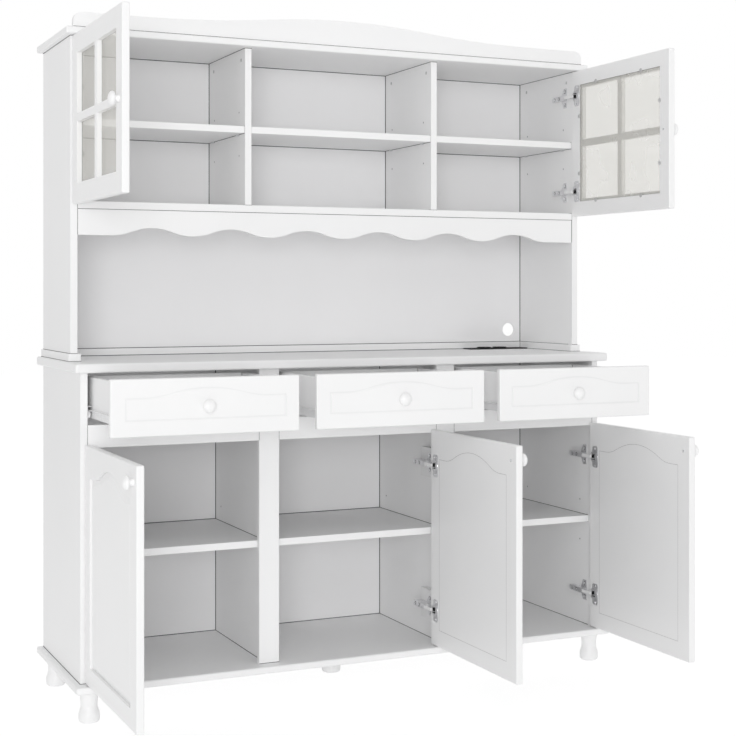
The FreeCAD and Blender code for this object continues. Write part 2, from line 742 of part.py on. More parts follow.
def doors():
    arms = []
    side_pin_x = side_out - lower_door_reveal - hinge_pin_in
    middle_pin_x = middle_door_width / 2 - hinge_pin_in
    upper_pin_x = side_out - upper_door_reveal - hinge_pin_in
    lower_y, upper_y = front - pin_ahead, hutch_front - pin_ahead
    lower = (lower_door_bottom, lower_door_height, lower_hinge_inset)
    upper = (upper_door_bottom, upper_door_height, upper_hinge_inset)
    plan = (("lower_left", -1, -side_pin_x, lower_y, lower_door_width, lower, side_pin_x - side_in),
            ("lower_middle", 1, middle_pin_x, lower_y, middle_door_width, lower, middle_pin_x - stile_in),
            ("lower_right", 1, side_pin_x, lower_y, lower_door_width, lower, side_pin_x - side_in),
            ("upper_left", -1, -upper_pin_x, upper_y, upper_door_width, upper, upper_pin_x - side_in),
            ("upper_right", 1, upper_pin_x, upper_y, upper_door_width, upper, upper_pin_x - side_in))
    for name, side, x, y, width, levels, face in plan:
        bottom, height, inset = levels
        hinge_z = hinge_levels(0, height, inset)
        knob_x = width - knob_edge_inset - hinge_pin_in
        if name.startswith("lower"):
            frame, infill = panelled_door(width)
            knob_z = height - knob_top_inset
            infill_name = "_panel"
        else:
            frame, infill = glazed_door(width, height)
            knob_z = height / 2
            infill_name = "_glass"
        shapes = {"_frame": [drill_cups(frame, hinge_z)], infill_name: [infill],
                  "_knob": [knob(knob_x, door_out, knob_z)],
                  "_hinge_cups": [hinge_cup(z) for z in hinge_z]}
        for part, solids in shapes.items():
            save(name + part, [place(solid, side, x, y, bottom, open_angle) for solid in solids])
        arms += [place(hinge_arm(z, face), side, x, y, bottom, 0) for z in hinge_z]
    save("hinge_arms", arms)


# Drawers. The slides are drawn for a left-hand face at x = 0 with the channel's front at y = 0.
slide_base = rail_top + slide_rise
roller_low = slide_sheet + roller_play
roller_centre = roller_low + roller_radius
runner_top = roller_low + 2 * roller_radius + roller_play
box_bottom = slide_base + 2 * slide_sheet + runner_drop
box_top = counter_bottom - drawer_top_space
front_top = counter_bottom - drawer_front_drop
front_bottom = rail_top - drawer_front_foot


def roller(y, x0):
    """A nylon roller on its stud, across the slide."""
    wheel = Part.makeCylinder(roller_radius, roller_width, V(x0, y, roller_centre), V(1, 0, 0))
    return wheel


def channel():
    """The cabinet's half of a slide: a C section with a roller at its front."""
    length = channel_length
    web = block(0, slide_sheet, 0, length, 0, channel_height)
    lip = block(0, channel_lip, 2 * roller_inset, length, 0, slide_sheet)
    head = block(0, channel_lip, 0, length, channel_height - slide_sheet, channel_height)
    stud = Part.makeCylinder(stud_radius, roller_wall_gap, V(0, roller_inset, roller_centre), V(1, 0, 0))
    rail = web.fuse([lip, head, stud]).removeSplitter()
    return [rail, roller(roller_inset, roller_wall_gap)]


def runner():
    """The drawer's half of a slide: a Z section under the box side with a roller at its back.
    Here y = 0 is the front end of the box."""
    wall = slide_space - slide_sheet
    foot_z = box_bottom - slide_base - slide_sheet
    web = block(wall, slide_space, 0, drawer_depth, foot_z, runner_top + slide_sheet)
    foot_plate = block(wall, slide_space + runner_foot_in, 0, drawer_depth, foot_z, foot_z + slide_sheet)
    tread_end = drawer_depth - 2 * roller_inset
    tread = block(wall - runner_lip_out, wall, 0, tread_end, runner_top, runner_top + slide_sheet)
    y = drawer_depth - roller_inset
    stud_start = roller_wall_gap + roller_width
    stud = Part.makeCylinder(stud_radius, wall - stud_start, V(stud_start, y, roller_centre), V(1, 0, 0))
    rail = web.fuse([foot_plate, tread, stud]).removeSplitter()
    return [rail, roller(y, roller_wall_gap)]


def handed(shapes, way, x, y, z):
    """Move slide parts to a face at x; way is 1 on a left-hand face and -1 on a right-hand one."""
    moved = []
    for shape in shapes:
        part = shape.copy() if way > 0 else shape.mirror(V(0, 0, 0), V(1, 0, 0))
        part.translate(V(x, y, z))
        moved.append(part)
    return moved


def drawer_front(x0, x1, y):
    """A front with a fine arched groove cut round its face."""
    blank = block(x0, x1, y, y + drawer_front_thickness, front_bottom, front_top)
    blank = blank.makeFillet(door_round, blank.Edges)

    def ring(inset):
        wire = arched_wire(x0 + groove_side_margin + inset, x1 - groove_side_margin - inset,
                           front_bottom + groove_bottom_margin + inset,
                           front_top - groove_shoulder_drop - inset,
                           front_top - groove_peak_drop - inset, groove_flat, groove_share, y - through)
        return Part.Face(wire).extrude(V(0, groove_depth + through, 0))
    return blank.cut(ring(0).cut(ring(groove_width)))


def drawers():
    channels = []
    outer, inner = side_out - lower_door_reveal, stile_out - drawer_front_overlay
    half = stile_in + middle_door_overlay
    plan = (("left", -side_in, -stile_out, -outer, -inner), ("middle", -stile_in, stile_in, -half, half),
            ("right", stile_out, side_in, inner, outer))
    for name, face_left, face_right, front_left, front_right in plan:
        face_y = front - drawer_front_gap - drawer_front_thickness - drawer_pull
        box_y = face_y + drawer_front_thickness
        box_left, box_right = face_left + slide_space, face_right - slide_space
        box_end = box_y + drawer_depth
        floor_z = box_bottom + drawer_bottom_rise
        save("drawer_" + name + "_front", [drawer_front(front_left, front_right, face_y)])
        groove = block(box_left + drawer_side - drawer_groove, box_right - drawer_side + drawer_groove,
                       box_y - through, box_end + through, floor_z, floor_z + drawer_bottom)
        sides = []
        for x0, x1 in ((box_left, box_left + drawer_side), (box_right - drawer_side, box_right)):
            sides.append(slab(x0, x1, box_y, box_end, box_bottom, box_top).cut(groove))
        tail = slab(box_left + drawer_side, box_right - drawer_side, box_end - drawer_side, box_end,
                    floor_z + drawer_bottom, box_top)
        floor = block(box_left + drawer_side - drawer_groove + fit_gap,
                      box_right - drawer_side + drawer_groove - fit_gap, box_y, box_end,
                      floor_z, floor_z + drawer_bottom)
        save("drawer_" + name + "_box", sides + [tail, floor])
        save("drawer_" + name + "_knob",
             [knob((front_left + front_right) / 2, face_y, (front_bottom + front_top) / 2)])
        rails = handed(runner(), 1, face_left, box_y, slide_base)
        rails += handed(runner(), -1, face_right, box_y, slide_base)
        save("drawer_" + name + "_runners", rails)
        channel_y = front + channel_setback
        channels += handed(channel(), 1, face_left, channel_y, slide_base)
        channels += handed(channel(), -1, face_right, channel_y, slide_base)
    save("slide_channels", channels)


base_and_feet()
lower_carcass()
bay_shelves("lower_shelves", side_in, partition_out, partition_in, lower_shelf_front, lower_shelf_bottom)
packing_blocks()
counter()
power_outlet()
hutch_carcass()
bay_shelves("hutch_shelves", side_in, divider_out, divider_in, hutch_shelf_front, hutch_shelf_bottom)
shelf_pins()
valance()
crest()
doors()
drawers()
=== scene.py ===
import json
import math
import bmesh
import bpy
from mathutils import Matrix, Vector


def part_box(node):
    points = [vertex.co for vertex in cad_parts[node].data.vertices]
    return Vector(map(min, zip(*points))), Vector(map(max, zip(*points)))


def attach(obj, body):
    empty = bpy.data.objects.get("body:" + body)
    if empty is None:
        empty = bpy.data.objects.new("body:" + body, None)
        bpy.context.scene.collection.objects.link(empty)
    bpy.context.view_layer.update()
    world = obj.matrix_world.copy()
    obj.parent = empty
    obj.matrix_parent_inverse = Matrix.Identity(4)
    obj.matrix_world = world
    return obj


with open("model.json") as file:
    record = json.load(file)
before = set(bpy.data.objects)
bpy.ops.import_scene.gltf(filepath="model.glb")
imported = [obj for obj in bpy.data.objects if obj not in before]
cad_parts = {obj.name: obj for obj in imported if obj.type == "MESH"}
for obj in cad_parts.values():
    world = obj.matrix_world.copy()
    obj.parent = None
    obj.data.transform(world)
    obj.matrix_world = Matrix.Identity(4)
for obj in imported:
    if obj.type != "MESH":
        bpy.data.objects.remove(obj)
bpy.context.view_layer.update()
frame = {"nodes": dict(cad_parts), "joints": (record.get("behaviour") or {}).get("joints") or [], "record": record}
nodes = frame["nodes"]

# Lengths are in metres, in the frame of the cabinet: X to the right, Y to the back, Z up.
MM = 0.001

# Camera, from the straight edges in the photograph, whose frame is square
image_pixels = 736
focal_pixels = 1468.0
centre_column, centre_row = 390.0, 290.7
camera_place = Vector((-1.575, -3.7465, 1.053))
camera_yaw = math.radians(25.1)
camera_reach = 60.0
sensor_width = 36.0

# Light
ambient_strength = 0.61
lamp_width = 3.4
key_place, key_target, key_power = (-3.4, -8.2, 1.3), (0, 0, 0.8), 203.0
high_place, high_target, high_power = (-3.2, -7.2, 5.2), (0, 0, 0.9), 30.0
floor_half_width = 15.0
floor_cells = 8
floor_glow = 0.83
floor_shade = 0.3
floor_bounce = 0.9
floor_lift = 0.2


# Materials

# The middle band of a noise, where most of its values lie
band_low, band_high = 0.35, 0.65


def new_material(name):
    """A material with one shader on its output, returned with its node tree and that shader."""
    material = bpy.data.materials.new(name)
    material.use_nodes = True
    tree = material.node_tree
    tree.nodes.clear()
    shader = tree.nodes.new("ShaderNodeBsdfPrincipled")
    output = tree.nodes.new("ShaderNodeOutputMaterial")
    tree.links.new(shader.outputs["BSDF"], output.inputs["Surface"])
    return material, tree, shader


def object_noise(tree, scale, detail, stretch=(1, 1, 1)):
    """Noise fixed to the piece, so that it doesn't slide; stretch lengthens the grain along an axis."""
    place = tree.nodes.new("ShaderNodeTexCoord")
    mapping = tree.nodes.new("ShaderNodeMapping")
    mapping.inputs["Scale"].default_value = stretch
    noise = tree.nodes.new("ShaderNodeTexNoise")
    noise.inputs["Scale"].default_value = scale
    noise.inputs["Detail"].default_value = detail
    tree.links.new(place.outputs["Object"], mapping.inputs["Vector"])
    tree.links.new(mapping.outputs["Vector"], noise.inputs["Vector"])
    return noise


def ranged(tree, noise, least, most):
    """The noise's middle band, spread over two values."""
    spread = tree.nodes.new("ShaderNodeMapRange")
    spread.inputs["From Min"].default_value = band_low
    spread.inputs["From Max"].default_value = band_high
    spread.inputs["To Min"].default_value = least
    spread.inputs["To Max"].default_value = most
    tree.links.new(noise.outputs["Fac"], spread.inputs["Value"])
    return spread.outputs["Result"]


def tinted(tree, noise, dark, light):
    """A colour that wanders between two near tones."""
    ramp = tree.nodes.new("ShaderNodeValToRGB")
    ramp.color_ramp.elements[0].position = band_low
    ramp.color_ramp.elements[1].position = band_high
    ramp.color_ramp.elements[0].color = (*dark, 1)
    ramp.color_ramp.elements[1].color = (*light, 1)
    tree.links.new(noise.outputs["Fac"], ramp.inputs["Fac"])
    return ramp.outputs["Color"]


def bumped(tree, shader, noise, strength, distance):
    """Raise and sink the surface a little, as the noise does."""
    bump = tree.nodes.new("ShaderNodeBump")
    bump.inputs["Strength"].default_value = strength
    bump.inputs["Distance"].default_value = distance
    tree.links.new(noise.outputs["Fac"], bump.inputs["Height"])
    tree.links.new(bump.outputs["Normal"], shader.inputs["Normal"])


# Painted and foiled surfaces
drift_scale, drift_detail = 3.0, 2.0
paint_detail = 3.0
paint_bump = 0.25
paint_rough_below, paint_rough_above = 0.04, 0.05
paint_specular = 0.4
paint_coat_rough = 0.3


def paint(name, dark, light, rough, grain, depth, stretch=(1, 1, 1), coat=0.0):
    """A faint drift of tone, a fine skin and a sheen that varies."""
    material, tree, shader = new_material(name)
    drift = object_noise(tree, drift_scale, drift_detail, stretch)
    skin = object_noise(tree, grain, paint_detail, stretch)
    tree.links.new(tinted(tree, drift, dark, light), shader.inputs["Base Color"])
    sheen = ranged(tree, skin, rough - paint_rough_below, rough + paint_rough_above)
    tree.links.new(sheen, shader.inputs["Roughness"])
    bumped(tree, shader, skin, paint_bump, depth)
    shader.inputs["Specular IOR Level"].default_value = paint_specular
    shader.inputs["Coat Weight"].default_value = coat
    shader.inputs["Coat Roughness"].default_value = paint_coat_rough
    return material


finishes = {
    "board_white": {"dark": (0.93, 0.93, 0.933), "light": (0.945, 0.945, 0.947), "rough": 0.46,
                    "grain": 420.0, "depth": 0.04 * MM},
    "door_white": {"dark": (0.93, 0.93, 0.932), "light": (0.945, 0.945, 0.946), "rough": 0.4,
                   "grain": 260.0, "depth": 0.05 * MM, "coat": 0.15},
    "knob_white": {"dark": (0.93, 0.93, 0.932), "light": (0.95, 0.95, 0.95), "rough": 0.34,
                   "grain": 300.0, "depth": 0.03 * MM, "coat": 0.3},
    "foot_white": {"dark": (0.92, 0.92, 0.922), "light": (0.94, 0.94, 0.941), "rough": 0.38,
                   "grain": 300.0, "depth": 0.04 * MM, "coat": 0.2},
    "back_board": {"dark": (0.925, 0.922, 0.928), "light": (0.94, 0.937, 0.943), "rough": 0.55,
                   "grain": 240.0, "depth": 0.06 * MM, "stretch": (1, 1, 0.25)},
    "raw_board": {"dark": (0.85, 0.85, 0.852), "light": (0.88, 0.88, 0.882), "rough": 0.6,
                  "grain": 500.0, "depth": 0.08 * MM},
    "white_steel": {"dark": (0.82, 0.82, 0.825), "light": (0.85, 0.85, 0.855), "rough": 0.3,
                    "grain": 700.0, "depth": 0.03 * MM, "coat": 0.2},
    "shadow_black": {"dark": (0.02, 0.02, 0.021), "light": (0.035, 0.035, 0.036), "rough": 0.7,
                     "grain": 300.0, "depth": 0.05 * MM},
    "shadow_grey": {"dark": (0.1, 0.1, 0.101), "light": (0.14, 0.14, 0.141), "rough": 0.7,
                    "grain": 300.0, "depth": 0.05 * MM},
    # Painted shade: a mid grey for the spare pin holes and the line where panel and frame meet; also the line
    # round each pane
    "line_grey": {"dark": (0.42, 0.42, 0.422), "light": (0.48, 0.48, 0.482), "rough": 0.6,
                  "grain": 300.0, "depth": 0.05 * MM},
    # Painted reflection: a bright white for the plates on the hinge links
    "link_painted_reflection": {"dark": (0.92, 0.92, 0.922), "light": (0.95, 0.95, 0.952), "rough": 0.25,
                    "grain": 500.0, "depth": 0.02 * MM, "coat": 0.4},
    # Painted shade: a slightly darker white for the floor of the drawer fronts' grooves
    "groove_painted_shade": {"dark": (0.88, 0.88, 0.882), "light": (0.905, 0.905, 0.907), "rough": 0.5,
                     "grain": 300.0, "depth": 0.04 * MM},
    "clip_grey": {"dark": (0.5, 0.5, 0.502), "light": (0.58, 0.58, 0.582), "rough": 0.35,
                  "grain": 500.0, "depth": 0.03 * MM},
}

# Plated steel, with fine drawing lines along its height
steel_tone = (0.8, 0.8, 0.815)
steel_dark_share = 0.93
steel_rough, steel_rough_below, steel_rough_above = 0.24, 0.05, 0.08
steel_grain, steel_detail, steel_stretch = 600.0, 4.0, (1, 1, 0.1)
steel_bump, steel_depth = 0.15, 0.02 * MM


def bright_steel():
    material, tree, shader = new_material("bright_steel")
    lines = object_noise(tree, steel_grain, steel_detail, steel_stretch)
    dark = tuple(part * steel_dark_share for part in steel_tone)
    tree.links.new(tinted(tree, lines, dark, steel_tone), shader.inputs["Base Color"])
    sheen = ranged(tree, lines, steel_rough - steel_rough_below, steel_rough + steel_rough_above)
    tree.links.new(sheen, shader.inputs["Roughness"])
    bumped(tree, shader, lines, steel_bump, steel_depth)
    shader.inputs["Metallic"].default_value = 1.0
    return material


# Panes: each face hides the share of what is behind it that its alpha gives
pane_alpha = 0.32
pane_dark, pane_light = (0.8, 0.78, 0.71), (0.84, 0.82, 0.75)
pane_rough = 0.06
pane_wave, pane_wave_detail = 12.0, 1.0
pane_bump, pane_depth = 0.08, 0.2 * MM


def pane_glass():
    """Clear glass with a warm tint: a thin veil that lets the light through it."""
    material, tree, shader = new_material("pane_glass")
    waves = object_noise(tree, pane_wave, pane_wave_detail)
    tree.links.new(tinted(tree, waves, pane_dark, pane_light), shader.inputs["Base Color"])
    bumped(tree, shader, waves, pane_bump, pane_depth)
    shader.inputs["Roughness"].default_value = pane_rough
    shader.inputs["Alpha"].default_value = pane_alpha
    return material


# Black plastic with a dull skin
plastic_dark, plastic_light = (0.012, 0.012, 0.013), (0.022, 0.022, 0.024)
plastic_rough_least, plastic_rough_most = 0.5, 0.62
plastic_grain, plastic_detail = 900.0, 3.0
plastic_bump, plastic_depth = 0.2, 0.05 * MM
plastic_specular = 0.12


def black_plastic():
    material, tree, shader = new_material("black_plastic")
    skin = object_noise(tree, plastic_grain, plastic_detail)
    tree.links.new(tinted(tree, skin, plastic_dark, plastic_light), shader.inputs["Base Color"])
    sheen = ranged(tree, skin, plastic_rough_least, plastic_rough_most)
    tree.links.new(sheen, shader.inputs["Roughness"])
    bumped(tree, shader, skin, plastic_bump, plastic_depth)
    shader.inputs["Specular IOR Level"].default_value = plastic_specular
    return material


materials = {name: paint(name, **finish) for name, finish in finishes.items()}
materials["bright_steel"] = bright_steel()
materials["glass"] = pane_glass()
materials["black_plastic"] = black_plastic()


def dress_nodes():
    """Give every CAD node the finish of its slot in the record."""
    slots = {part["node"]: part["material_slot"] for part in frame["record"]["subparts"]}
    for name, node in nodes.items():
        node.data.materials.clear()
        node.data.materials.append(materials[slots[name]])


# Small pieces are drawn in mesh code, each in the place that its CAD nodes give

# An edge sharper than this stays sharp on a smooth piece
sharp_angle = math.radians(35)
# Two directions whose cross product is shorter than this count as parallel
parallel_limit = 0.5
# How far a small piece reaches into the face that carries it
sink = 0.1 * MM
lathe_segments = 24
fine_segments = 16
coarse_segments = 12


def low(node, axis):
    """The lowest place of a node along an axis."""
    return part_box(node)[0][axis]


def high(node, axis):
    """The highest place of a node along an axis."""
    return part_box(node)[1][axis]


def new_piece(name, bm, body, material, smooth=False):
    """Turn a mesh into a piece that moves with a body."""
    bmesh.ops.recalc_face_normals(bm, faces=bm.faces)
    mesh = bpy.data.meshes.new(name)
    bm.to_mesh(mesh)
    bm.free()
    piece = bpy.data.objects.new(name, mesh)
    bpy.context.scene.collection.objects.link(piece)
    piece.data.materials.append(materials[material])
    if smooth:
        mesh.shade_smooth()
        mesh.set_sharp_from_angle(angle=sharp_angle)
    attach(piece, body)


def facing(place, normal):
    """A frame at a place whose Z runs along a normal, with its X level where it can be."""
    z = Vector(normal).normalized()
    x = Vector((0, 0, 1)).cross(z)
    if x.length < parallel_limit:
        x = Vector((1, 0, 0))
    x.normalize()
    turn = Matrix((x, z.cross(x), z)).transposed().to_4x4()
    return Matrix.Translation(Vector(place)) @ turn


def circle(radius, segments):
    """Points at even angles round a circle."""
    angles = [2 * math.pi * step / segments for step in range(segments)]
    return [(radius * math.cos(angle), radius * math.sin(angle)) for angle in angles]


def rectangle(x0, x1, y0, y1):
    return [(x0, y0), (x1, y0), (x1, y1), (x0, y1)]


def in_mm(*pairs):
    """Pairs of lengths given in millimetres, such as a profile's radius and height."""
    return [(first * MM, second * MM) for first, second in pairs]


def new_ring(bm, place, outline, height):
    """The vertices of an outline, at one height over a place."""
    return [bm.verts.new(place @ Vector((x, y, height))) for x, y in outline]


def join_rings(bm, rings):
    """Faces between each ring of vertices and the next."""
    for a, b in zip(rings, rings[1:]):
        count = len(a)
        for step in range(count):
            after = (step + 1) % count
            bm.faces.new((a[step], a[after], b[after], b[step]))


def closed_body(bm, rings):
    """Join the rings and fill the first and the last."""
    join_rings(bm, rings)
    bm.faces.new(rings[0])
    bm.faces.new(rings[-1])


def lathe(bm, place, profile, segments=lathe_segments):
    """Turn a profile of radius and height about the place's Z, closed at both ends."""
    closed_body(bm, [new_ring(bm, place, circle(radius, segments), height) for radius, height in profile])


def plate(bm, place, outline, bottom, top):
    """A flat plate of any outline, between two heights over the place."""
    closed_body(bm, [new_ring(bm, place, outline, height) for height in (bottom, top)])


# Screw heads, in shares of their radius and height
head_segments = 20
head_sink = 0.2 * MM
head_wall_share = 0.45
head_rim_share = 0.78
recess_reach_share = 0.56
recess_half_share = 0.15
recess_floor_share = 0.3


def screw(bm, place, radius, height):
    """A low screw head with a chamfered rim and a cross recess."""
    profile = ((radius, -head_sink), (radius, height * head_wall_share), (radius * head_rim_share, height))
    rings = [new_ring(bm, place, circle(width, head_segments), level) for width, level in profile]
    join_rings(bm, rings)
    bm.faces.new(rings[0])

    reach, half = radius * recess_reach_share, radius * recess_half_share
    arm = ((half, half), (half, reach), (-half, reach))
    quarter_turns = ((1, 0), (0, 1), (-1, 0), (0, -1))
    cross = [(x * across - y * up, x * up + y * across) for across, up in quarter_turns for x, y in arm]
    mouth = new_ring(bm, place, cross, height)
    floor = new_ring(bm, place, cross, height * recess_floor_share)

    # The flat top is filled between the rim and the cross, and the cross itself is opened again
    edges = []
    for ring in (rings[-1], mouth):
        for step, corner in enumerate(ring):
            after = ring[(step + 1) % len(ring)]
            edges.append(bm.edges.get((corner, after)) or bm.edges.new((corner, after)))
    bmesh.ops.triangle_fill(bm, use_beauty=True, edges=edges)
    inner = [face for face in bm.faces if set(face.verts) <= set(mouth)]
    bmesh.ops.delete(bm, geom=inner, context="FACES_ONLY")
    join_rings(bm, [mouth, floor])
    bm.faces.new(floor)


# Painted shade lines in the carcass: dark bars in inside corners and grooves, where shade falls
fine_line, deep_line = 1.2 * MM, 1.8 * MM
line_inset = 1.0 * MM
seam_half = 0.5 * MM
seam_top, seam_bottom = 0.25 * MM, 0.7 * MM
stile_depth = 18 * MM
behind_stile = 20 * MM
behind_valance = 20 * MM
# How far the strips on the counter reach inward from the hutch's sides and forward from its back
strip_inner = 7.5 * MM
strip_back_lip = 13 * MM

# Planes of the carcass, read from the CAD nodes
side_in, side_out = low("hutch_side_right", 0), high("hutch_side_right", 0)
divider_in, divider_out = low("divider_right", 0), high("divider_right", 0)
partition_in, partition_out = low("partition_right", 0), high("partition_right", 0)
stile_out = high("front_stiles", 0)
# A stile is centred on its partition
stile_in = partition_in + partition_out - stile_out
back_face, back_rear = low("niche_back", 1), high("niche_back", 1)
hutch_front, lower_front = low("hutch_side_right", 1), low("side_panel_right", 1)
base_top, counter_bottom = high("base_board", 2), low("countertop", 2)
rail_bottom, rail_top = low("drawer_rails", 2), high("drawer_rails", 2)
counter_top, plinth_top = high("countertop", 2), high("hutch_plinth", 2)
floor_bottom, floor_top = low("hutch_floor", 2), high("hutch_floor", 2)
top_bottom, top_top = low("top_board", 2), high("top_board", 2)
rear = high("base_board", 1)
strip_in, strip_out = side_in - strip_inner, high("hutch_plinth", 0)
strip_front, strip_rear = low("hutch_plinth", 1), back_face - strip_back_lip


def corner_line(bm, start, end, open_ways, width=fine_line):
    """Painted shade in an inside corner: a fine dark three-sided bar that grows along the two open ways."""
    ways = [Vector([value if axis == index else 0 for axis in range(3)]) * width
            for index, value in enumerate(open_ways) if value]
    rows = []
    for point in (start, end):
        corner = Vector(point)
        rows.append([bm.verts.new(spot) for spot in (corner, corner + ways[0], corner + ways[1])])
    closed_body(bm, rows)


def mirrored_line(bm, start, end, open_ways):
    """A corner line on the right and its mirror image on the left."""
    for way in (-1, 1):
        mirrored = [(way * x, y, z) for x, y, z in (start, end, open_ways)]
        corner_line(bm, *mirrored)


def seam(bm, start, end, across):
    """Painted shade: a dark bar lying in the bevelled groove between two boards that are flush at the front."""
    side = Vector(across) * seam_half
    top, bottom = Vector((0, seam_top, 0)), Vector((0, seam_bottom, 0))
    section = [side + top, -side + top, -side + bottom, side + bottom]
    closed_body(bm, [[bm.verts.new(Vector(point) + offset) for offset in section] for point in (start, end)])


def box_corners(bm, x0, x1, front, z0, z1):
    """Painted shade lines round the inside of an open bay, the deep ones against its back."""
    for x, way in ((x0, 1), (x1, -1)):
        corner_line(bm, (x, back_face, z0), (x, back_face, z1), (way, -1, 0), deep_line)
        corner_line(bm, (x, front, z0), (x, back_face, z0), (way, 0, 1))
        corner_line(bm, (x, front, z1), (x, back_face, z1), (way, 0, -1))
    corner_line(bm, (x0, back_face, z0), (x1, back_face, z0), (0, -1, 1), deep_line)
    corner_line(bm, (x0, back_face, z1), (x1, back_face, z1), (0, -1, -1), deep_line)


def bay_lines(bm, wall_out, wall_in, front, z0, z1, shelves):
    """The painted shade lines in three bays side by side, and round the shelf in each."""
    shelf_front, shelf_rear = low(shelves, 1) + line_inset, high(shelves, 1)
    for x0, x1 in ((-side_in, -wall_out), (-wall_in, wall_in), (wall_out, side_in)):
        box_corners(bm, x0, x1, front + line_inset, z0, z1)
        for level, way in ((high(shelves, 2), 1), (low(shelves, 2), -1)):
            corner_line(bm, (x0, shelf_rear, level), (x1, shelf_rear, level), (0, -1, way), deep_line)
            for x, turn in ((x0, 1), (x1, -1)):
                corner_line(bm, (x, shelf_front, level), (x, shelf_rear, level), (turn, 0, way))


def niche_lines(bm):
    """The painted shade lines in the niche, and inside the strips on the counter."""
    box_corners(bm, -side_in, side_in, hutch_front + behind_valance, plinth_top, floor_bottom)
    corner_line(bm, (-strip_in, strip_rear, counter_top), (strip_in, strip_rear, counter_top),
                (0, -1, 1), deep_line)
    mirrored_line(bm, (strip_in, strip_front, counter_top), (strip_in, strip_rear, counter_top), (-1, 0, 1))
    mirrored_line(bm, (strip_in, strip_rear, counter_top), (strip_in, strip_rear, plinth_top), (-1, -1, 0))


def side_lines(bm):
    """Painted shade lines outside, where each side meets a board under or over it."""
    for x, front, z, turn in ((strip_out, strip_front, counter_top, 1),
                              (side_out, hutch_front, plinth_top, 1),
                              (side_out, lower_front, base_top, 1),
                              (side_out, lower_front, counter_bottom, -1),
                              (side_out, hutch_front, top_bottom, -1)):
        mirrored_line(bm, (x, front, z), (x, rear, z), (1, 0, turn))


def front_lines(bm):
    """Painted shade lines at the front, where each upright board meets a board under or over it."""
    for x0, x1, front, z, turn in ((strip_in, strip_out, strip_front, counter_top, 1),
                                   (side_in, side_out, hutch_front, plinth_top, 1),
                                   (side_in, side_out, lower_front, base_top, 1),
                                   (stile_in, stile_out, lower_front, base_top, 1),
                                   (stile_in, stile_out, lower_front, counter_bottom, -1),
                                   (side_in, side_out, hutch_front, top_bottom, -1),
                                   (divider_in, divider_out, hutch_front, top_bottom, -1)):
        mirrored_line(bm, (x0, front, z), (x1, front, z), (0, -1, turn))
    stile_rear = lower_front + stile_depth
    for x, turn in ((partition_in, -1), (partition_out, 1)):
        mirrored_line(bm, (x, stile_rear, base_top), (x, stile_rear, rail_bottom), (turn, 1, 0))


def trim_lines(bm):
    """Painted shade lines round the valance and the crest."""
    front, foot = low("valance", 1), low("valance", 2)
    mirrored_line(bm, (side_in, front, foot), (side_in, front, floor_bottom), (-1, -1, 0))
    corner_line(bm, (-side_in, front, floor_bottom), (side_in, front, floor_bottom), (0, -1, -1))
    end = high("crest", 0)
    for y, way, width in ((low("crest", 1), -1, deep_line), (high("crest", 1), 1, fine_line)):
        corner_line(bm, (-end, y, top_top), (end, y, top_top), (0, way, 1), width)


def board_seams(bm):
    """Painted shade in the grooves between boards that are flush at the front."""
    across, upright = (1, 0, 0), (0, 0, 1)
    for way in (-1, 1):
        seam(bm, (way * side_in, hutch_front, floor_bottom), (way * side_in, hutch_front, floor_top), across)
        seam(bm, (way * divider_in, hutch_front, floor_top), (way * divider_out, hutch_front, floor_top),
             upright)
        for x in (stile_in, stile_out, side_in):
            seam(bm, (way * x, lower_front, rail_bottom), (way * x, lower_front, rail_top), across)


def carcass_lines():
    """Painted shade: dark lines in the corners and grooves between the boards."""
    bm = bmesh.new()
    bay_lines(bm, divider_out, divider_in, hutch_front, floor_top, top_bottom, "hutch_shelves")
    bay_lines(bm, partition_out, partition_in, lower_front + behind_stile, base_top, counter_bottom,
              "lower_shelves")
    niche_lines(bm)
    side_lines(bm)
    front_lines(bm)
    trim_lines(bm)
    board_seams(bm)
    # Shadow grey bars: painted shade in the corners and grooves between the boards
    new_piece("shade_lines", bm, "cabinet", "shadow_grey")


# Doors. Along a door, x runs from the pin to the free edge, y to its inner face and z up.
hinged = [joint for joint in frame["joints"] if joint["type"] == "hinge"]
pin_from_edge = 10.8 * MM
pin_from_inner = 11.0 * MM
lower_hinge_inset, upper_hinge_inset = 95 * MM, 72 * MM


def door_name(joint):
    return joint["child"][:-len("_door")]


def hinge_side(joint):
    """1 for a door hung on the right, -1 for one hung on the left."""
    return 1 if joint["axis"][2] > 0 else -1


def door_frame(joint):
    """The door's own axes at rest, when it stands square to the cabinet."""
    rows = Matrix(((0, -hinge_side(joint), 0), (-1, 0, 0), (0, 0, 1)))
    return Matrix.Translation(Vector(joint["pos_m"])) @ rows.to_4x4()


def door_size(name):
    door_low, door_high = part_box(name + "_frame")
    return door_high[1] - door_low[1], door_high[2] - door_low[2]


def on_door(place, x, y, z):
    """A frame for a small piece at a place on the door, facing as its inner face does."""
    return facing(place @ Vector((x, y, z)), place.to_3x3() @ Vector((0, 1, 0)))


def hinge_levels(name, height):
    inset = lower_hinge_inset if name.startswith("lower") else upper_hinge_inset
    return inset, height - inset


# An arch of two easy curves a side, and a fine band that follows a line
arch_steps = 14
arch_foot_share = 0.33
least_mitre = 0.3


def arched_outline(x0, x1, z0, shoulder, peak, flat):
    """A line with flat shoulders and an arch made of two easy curves a side."""
    left, right, middle = x0 + flat, x1 - flat, (x0 + x1) / 2
    arch = []
    for step in range(1, arch_steps + 1):
        part = step / arch_steps
        if part < arch_foot_share:
            rise = part * part / arch_foot_share
        else:
            rise = 1 - (1 - part) * (1 - part) / (1 - arch_foot_share)
        arch.append((right + (middle - right) * part, shoulder + (peak - shoulder) * rise))
    mirrored = [(left + right - x, z) for x, z in reversed(arch[:-1])]
    return [(x0, z0), (x1, z0), (x1, shoulder), (right, shoulder), *arch, *mirrored,
            (left, shoulder), (x0, shoulder)]


